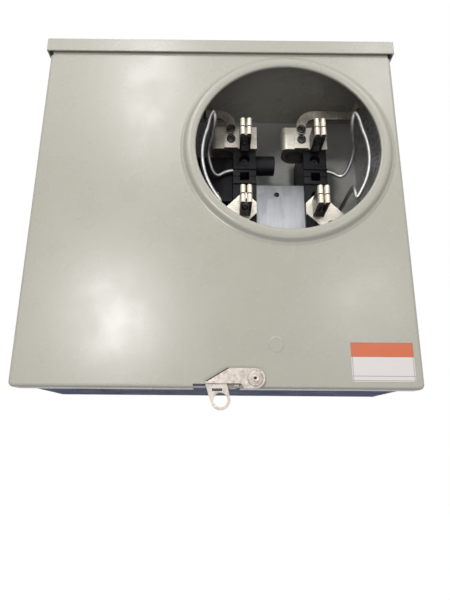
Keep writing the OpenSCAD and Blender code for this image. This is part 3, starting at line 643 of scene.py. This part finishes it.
def coverMesh(s):
    cx, cz = s["ringCentre"]
    edge = coverEdge(s)
    count = len(edge)
    shape = bmesh.new()
    loops = []
    angles = [math.atan2(p.y - cz, p.x - cx) for p, out in edge]
    for out, proud in s["ring"]:
        r, y = s["opening"] + out, s["front"] - proud
        loops.append([shape.verts.new(Vector((cx + r * math.cos(a), y, cz + r * math.sin(a))) * mm)
                      for a in angles])
    inner = []
    for (p, out), a in zip(edge, angles):
        q = p - Vector((math.cos(a), math.sin(a))) * s["border"]
        inner.append(shape.verts.new(Vector((q.x, s["front"], q.y)) * mm))
    loops.append(inner)
    loops.append([shape.verts.new(Vector((p.x, s["front"], p.y)) * mm) for p, out in edge])
    for near, far in zip(loops, loops[1:]):
        for i in range(count):
            j = (i + 1) % count
            shape.faces.new((near[i], far[i], far[j], near[j]))
    last = loops[-1]
    rows = [(math.sin(math.radians(a)) * s["bend"], s["front"] + (1 - math.cos(math.radians(a))) * s["bend"])
            for a in range(18, 91, 18)] + [(s["bend"], s["flangeBack"])]
    for reach, depth in rows:
        fresh = [shape.verts.new(Vector((p.x + out.x * reach, depth, p.y + out.y * reach)) * mm)
                 if out else None for p, out in edge]
        for i in range(count):
            j = (i + 1) % count
            if fresh[i] and fresh[j]:
                shape.faces.new((last[i], fresh[i], fresh[j], last[j]))
        last = fresh
    bmesh.ops.recalc_face_normals(shape, faces=shape.faces)
    front = max(shape.faces, key=lambda f: f.calc_area())
    if front.normal.y > 0:
        bmesh.ops.reverse_faces(shape, faces=shape.faces)
    mesh = bpy.data.meshes.new("cover")
    shape.to_mesh(mesh)
    shape.free()
    return mesh


def boxMesh(low, high):
    shape = bmesh.new()
    bmesh.ops.create_cube(shape, size=1.0)
    low, high = Vector(low) * mm, Vector(high) * mm
    for v in shape.verts:
        v.co = Vector((low[k] + (v.co[k] + 0.5) * (high[k] - low[k]) for k in range(3)))
    mesh = bpy.data.meshes.new("box")
    shape.to_mesh(mesh)
    shape.free()
    return mesh


def makeCover(s):
    piece = worked(coverMesh(s))
    wall = piece.modifiers.new("sheet", "SOLIDIFY")
    wall.thickness = s["thickness"] * mm
    wall.offset = -1
    wall.use_even_offset = True
    x0, x1, z0, z1 = s["slot"]
    past, behind = s["cutPast"], s["front"] + s["thickness"]
    # one cuts through the face, the other through the bottom flange behind it
    cutters = [
        worked(boxMesh((x0, s["front"] - past, z0), (x1, behind + s["cutOverlap"], z1))),
        worked(boxMesh((x0, behind, s["low"] - past), (x1, s["flangeBack"] + past, z1))),
    ]
    for cutter in cutters:
        cut = piece.modifiers.new("slot", "BOOLEAN")
        cut.operation = "DIFFERENCE"
        cut.object = cutter
        cut.solver = "EXACT"
    mesh = evaluated(piece)
    for cutter in cutters:
        bpy.data.objects.remove(cutter)
    smoothByAngle(mesh, 30)
    return mesh


place(makeCover(coverSetup), "cover_skin", "cover", ["cover"], "painted_grey", coverCoat)
print("cover made")

labelSetup = {
    "band": -135.7,
    "orange": (0.60, 0.135, 0.05),
    "white": (0.70, 0.655, 0.63),
    "rule": (0.20, 0.19, 0.19),
    "ruleWidth": 0.35,
    "ruleIn": 0.9,
    "lowerRule": 4.2,
}


def labelFilm(s, low, high):
    film = Finish("label film", 0.35)
    split = film.node("SeparateXYZ", {"Vector": film.coordinates})
    across, up = split.outputs["X"], split.outputs["Z"]
    upper = film.spread(up, 0, 1, (s["band"] - 0.1) * mm, (s["band"] + 0.1) * mm)
    plain = film.blend(upper, s["white"], s["orange"])
    # a thin dark rule runs round the label, and one more crosses it near its lower edge
    margin = s["ruleIn"] * mm
    lines = [(across, low[0] + margin), (across, high[0] - margin), (up, low[2] + margin),
             (up, low[2] + s["lowerRule"] * mm), (up, high[2] - margin)]
    edges = [film.math("ABSOLUTE", film.math("SUBTRACT", where, line)) for where, line in lines]
    near = edges[0]
    for other in edges[1:]:
        near = film.math("MINIMUM", near, other)
    ruled = film.spread(near, 1, 0, 0.1 * mm, s["ruleWidth"] * mm)
    film.use("Base Color", film.blend(film.math("MULTIPLY", ruled, 0.8), plain, s["rule"]))
    film.use("Roughness", film.spread(film.noise(260.0, 4.0), 0.3, 0.42))
    film.bump(film.noise(300.0, 2.0), 0.05, 0.1 * mm)
    return film.material


low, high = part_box("cover_label")
place(softened("cover_label", 0.06, 1), "label_film", "cover", ["cover_label"], "label_face",
      labelFilm(labelSetup, low, high))
print("label made")

wireSetup = {
    "radius": 1.9, "flats": 20, "smoothing": 4,
    # the loop round the opening: middle and radius, how far forward, its level and its two ends in degrees
    "middle": 59.2, "ringRadius": 75.0, "ringY": -105.0, "level": 49.2, "high": 20, "low": {1: -33, -1: -41},
    # where it leaves its block, and how far that is above the level
    "anchor": (105.375, -55.6), "anchorUp": 11.5,
    # the leg back to the wall: across from the middle, end against the wall, height on each side
    "leg": 60.5, "foot": 62.0, "back": -1.5, "hook": {1: 24.2, -1: 16.2},
}


def rimPath(s, side):
    # out of its block, forward and up, down round the opening, back to the wall
    face, anchorY = s["anchor"]
    anchorZ, ringY, hook = s["level"] + s["anchorUp"], s["ringY"], s["hook"][side]
    path = [
        (face - 4.7, anchorY, anchorZ), (face + 6, anchorY, anchorZ),
        (face + 18.5, anchorY + 0.5, anchorZ - 8), (face + 26, anchorY - 15, anchorZ + 10),
        (face + 21, anchorY - 30, anchorZ + 19),
        (face + 17.5, ringY + 6, anchorZ + 27), (face + 18.8, ringY, anchorZ + 33),
        (face + 22.5, ringY, anchorZ + 26),
    ]
    across = s["middle"]
    for a in range(s["high"], s["low"][side] - 1, -6):
        path.append((across + s["ringRadius"] * math.cos(math.radians(a)), ringY,
                     s["level"] + s["ringRadius"] * math.sin(math.radians(a))))
    path += [(across + s["leg"], ringY + 1, hook - 20), (across + s["leg"], ringY + 4, hook - 8),
             (across + s["foot"], ringY + 12, hook), (across + s["foot"], s["back"], hook)]
    return [Vector((across + side * (x - across), y, z)) for x, y, z in path]


def cutCorners(path, times):
    for _ in range(times):
        fresh = [path[0]]
        for before, here, after in zip(path, path[1:], path[2:]):
            fresh += [here * 0.75 + before * 0.25, here * 0.75 + after * 0.25]
        path = fresh + [path[-1]]
    return path


def sweptWire(path, radius, flats):
    shape = bmesh.new()
    side = Vector((0.05, 0.3, 1))
    rings = []
    for i, p in enumerate(path):
        way = (path[min(i + 1, len(path) - 1)] - path[max(i - 1, 0)]).normalized()
        side = (side - way * side.dot(way)).normalized()
        other = way.cross(side)
        rings.append([shape.verts.new((p + (side * math.cos(a) + other * math.sin(a)) * radius) * mm)
                      for a in (2 * math.pi * k / flats for k in range(flats))])
    for near, far in zip(rings, rings[1:]):
        for k in range(flats):
            n = (k + 1) % flats
            shape.faces.new((near[k], near[n], far[n], far[k]))
    shape.faces.new(rings[0][::-1])
    shape.faces.new(rings[-1])
    bmesh.ops.recalc_face_normals(shape, faces=shape.faces)
    mesh = bpy.data.meshes.new("wire")
    shape.to_mesh(mesh)
    shape.free()
    smoothByAngle(mesh, 50)
    return mesh


for side, node in ((-1, "rim_wire_left"), (1, "rim_wire_right")):
    path = cutCorners(rimPath(wireSetup, side), wireSetup["smoothing"])
    mesh = sweptWire(path, wireSetup["radius"], wireSetup["flats"])
    place(mesh, node + "_shape", "box", [node], "zinc_plate", wireMetal)
print("rim wires made")

rivetSetup = {"rings": 72, "hollow": 1.1, "headRadius": 5.9, "headFront": -122.6, "headBack": -121.2,
              "tailRadius": 4.4, "tailFront": -115.5, "tailRound": -114.6, "tailBack": -114.3, "shank": 3.0}


def lathed(profile, centre, steps):
    # profile is a closed list of (radius, y) in mm, turned about an axis along Y
    shape = bmesh.new()
    rings = []
    for i in range(steps):
        a = 2 * math.pi * i / steps
        across, up = math.cos(a), math.sin(a)
        rings.append([shape.verts.new(Vector((centre[0] + r * across, y, centre[1] + r * up)) * mm)
                      for r, y in profile])
    for i in range(steps):
        here, there = rings[i], rings[(i + 1) % steps]
        for k in range(len(profile)):
            n = (k + 1) % len(profile)
            shape.faces.new((here[k], here[n], there[n], there[k]))
    bmesh.ops.recalc_face_normals(shape, faces=shape.faces)
    mesh = bpy.data.meshes.new("lathed")
    shape.to_mesh(mesh)
    shape.free()
    smoothByAngle(mesh, 40)
    return mesh


def makeRivet(s):
    low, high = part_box("latch_rivet")
    centre = ((low[0] + high[0]) / 2 / mm, (low[2] + high[2]) / 2 / mm)
    r, front, back = s["headRadius"], s["headFront"], s["headBack"]
    profile = [
        (s["hollow"], front + 0.25), (s["hollow"] + 0.25, front + 0.05), (r * 0.45, front + 0.02),
        (r * 0.47, front + 0.2), (r * 0.53, front + 0.2), (r * 0.55, front), (r * 0.72, front + 0.03),
        (r * 0.74, front + 0.22), (r * 0.80, front + 0.22), (r * 0.82, front + 0.08),
        (r * 0.93, front + 0.25), (r * 0.99, front + 0.6), (r, front + 0.9), (r * 0.98, back),
        (s["shank"], back), (s["shank"], s["tailFront"]), (s["tailRadius"], s["tailFront"]),
        (s["tailRadius"] * 0.97, s["tailRound"]),
        (s["tailRadius"] * 0.8, s["tailBack"]), (s["hollow"], s["tailBack"]),
    ]
    return lathed(profile, centre, s["rings"])


place(makeRivet(rivetSetup), "latch_rivet_shape", "cover", ["latch_rivet"], "zinc_plate", zinc)
print("rivet made")

screwSetup = {
    # node: socket's share of the head's radius, material, slot
    "lug_screws": (0.52, oxide, "black_steel"),
    "horn_screws": (0.52, oxide, "black_steel"),
    "block_screws": (0.45, oxide, "black_steel"),
    "jaw_screws": (0.48, oxide, "black_steel"),
    "centre_screws": (0.45, oxide, "black_steel"),
    "neutral_screws": (0.45, oxide, "black_steel"),
    "ground_screw": (0.45, greenSteel, "green_screw"),
}


def solidsOf(node):
    # lowest and highest corner of each separate solid in a node
    shape = bmesh.new()
    shape.from_mesh(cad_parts[node].data)
    bmesh.ops.remove_doubles(shape, verts=shape.verts, dist=weld)
    seen, found = set(), []
    for start in shape.verts:
        if start.index in seen:
            continue
        group, stack = [], [start]
        seen.add(start.index)
        while stack:
            v = stack.pop()
            group.append(v.co.copy())
            for e in v.link_edges:
                w = e.other_vert(v)
                if w.index not in seen:
                    seen.add(w.index)
                    stack.append(w)
        found.append((Vector(map(min, zip(*group))), Vector(map(max, zip(*group)))))
    shape.free()
    return found


def headMesh(socketShare, shank, steps=48):
    # a unit screw: head of radius 1 from y 0 to y -1 with a six-sided socket, shank back to y shank
    shape = bmesh.new()

    def hexRadius(a):
        return socketShare * math.cos(math.radians(30)) / math.cos((a % math.radians(60)) - math.radians(30))

    # share of the socket's hexagon in the radius, what is added to it, place along y
    rows = [
        (0, 0.48, shank), (0, 0.48, 0.0), (0, 1.0, 0.0), (0, 1.0, -0.62), (0, 0.97, -0.8), (0, 0.90, -0.93),
        (0, 0.80, -1.0), (1, 0.06, -1.0), (1, 0.0, -0.92), (0.97, 0.0, -0.2),
    ]
    rings = []
    for hexShare, plain, y in rows:
        ring = []
        for i in range(steps):
            a = 2 * math.pi * i / steps
            radius = hexRadius(a) * hexShare + plain
            ring.append(shape.verts.new((radius * math.cos(a), y, radius * math.sin(a))))
        rings.append(ring)
    for near, far in zip(rings, rings[1:]):
        for i in range(steps):
            j = (i + 1) % steps
            shape.faces.new((near[i], near[j], far[j], far[i]))
    shape.faces.new(rings[-1])
    shape.faces.new(list(reversed(rings[0])))
    bmesh.ops.recalc_face_normals(shape, faces=shape.faces)
    mesh = bpy.data.meshes.new("head")
    shape.to_mesh(mesh)
    shape.free()
    smoothByAngle(mesh, 35)
    return mesh


def screwTree():
    # puts the head on each point, turned by a random angle about its own axis
    tree = bpy.data.node_groups.new("screws on points", "GeometryNodeTree")
    face = tree.interface
    wanted = {"Points": "Geometry", "Head": "Object", "Radius": "Float", "Height": "Float", "Seed": "Int",
              "Finish": "Material"}
    for name, kind in wanted.items():
        face.new_socket(name, in_out="INPUT", socket_type="NodeSocket" + kind)
    face.new_socket("Screws", in_out="OUTPUT", socket_type="NodeSocketGeometry")
    add, link = tree.nodes.new, tree.links.new
    given, result = add("NodeGroupInput"), add("NodeGroupOutput")
    info, on = add("GeometryNodeObjectInfo"), add("GeometryNodeInstanceOnPoints")
    size, turn = add("ShaderNodeCombineXYZ"), add("ShaderNodeCombineXYZ")
    angle = add("FunctionNodeRandomValue")
    real, paint = add("GeometryNodeRealizeInstances"), add("GeometryNodeSetMaterial")
    angle.data_type = "FLOAT"
    link(given.outputs["Head"], info.inputs["Object"])
    link(given.outputs["Points"], on.inputs["Points"])
    link(info.outputs["Geometry"], on.inputs["Instance"])
    link(given.outputs["Radius"], size.inputs["X"])
    link(given.outputs["Height"], size.inputs["Y"])
    link(given.outputs["Radius"], size.inputs["Z"])
    link(size.outputs[0], on.inputs["Scale"])
    angle.inputs[3].default_value = math.pi
    link(given.outputs["Seed"], angle.inputs["Seed"])
    link(angle.outputs[1], turn.inputs["Y"])
    link(turn.outputs[0], on.inputs["Rotation"])
    link(on.outputs[0], real.inputs[0])
    link(real.outputs[0], paint.inputs["Geometry"])
    link(given.outputs["Finish"], paint.inputs["Material"])
    link(paint.outputs[0], result.inputs[0])
    return tree


headHeights = {4.3: 2.2, 4.2: 2.6, 2.8: 1.8, 5.0: 3.0, 3.6: 1.6, 3.0: 1.6}  # by the head's radius, mm


def makeScrews(tree, node, socketShare, material, seed):
    groups = {}
    for low, high in solidsOf(node):
        radius = round(max(high.x - low.x, high.z - low.z) / 2 / mm, 1)
        groups.setdefault(radius, []).append((low, high))
    whole = bmesh.new()
    for radius, members in groups.items():
        height = headHeights[radius] * mm
        depth = members[0][1].y - members[0][0].y
        head = worked(headMesh(socketShare, depth / height - 1))
        points = bpy.data.meshes.new("points")
        centres = [((low.x + high.x) / 2, low.y + height, (low.z + high.z) / 2) for low, high in members]
        points.from_pydata(centres, [], [])
        carrier = worked(points)
        screws = carrier.modifiers.new("screws", "NODES")
        screws.node_group = tree
        values = {"Head": head, "Radius": radius * mm, "Height": height, "Seed": seed, "Finish": material}
        for item in tree.interface.items_tree:
            if item.in_out == "INPUT" and item.name in values:
                screws[item.identifier] = values[item.name]
        whole.from_mesh(evaluated(carrier))
        bpy.data.objects.remove(head)
    joined = bpy.data.meshes.new(node)
    whole.to_mesh(joined)
    whole.free()
    smoothByAngle(joined, 35)
    return joined


tree = screwTree()
for seed, (node, (share, material, slot)) in enumerate(screwSetup.items()):
    place(makeScrews(tree, node, share, material, seed + 3), node + "_heads", "box", [node], slot, material)
print("screws set")
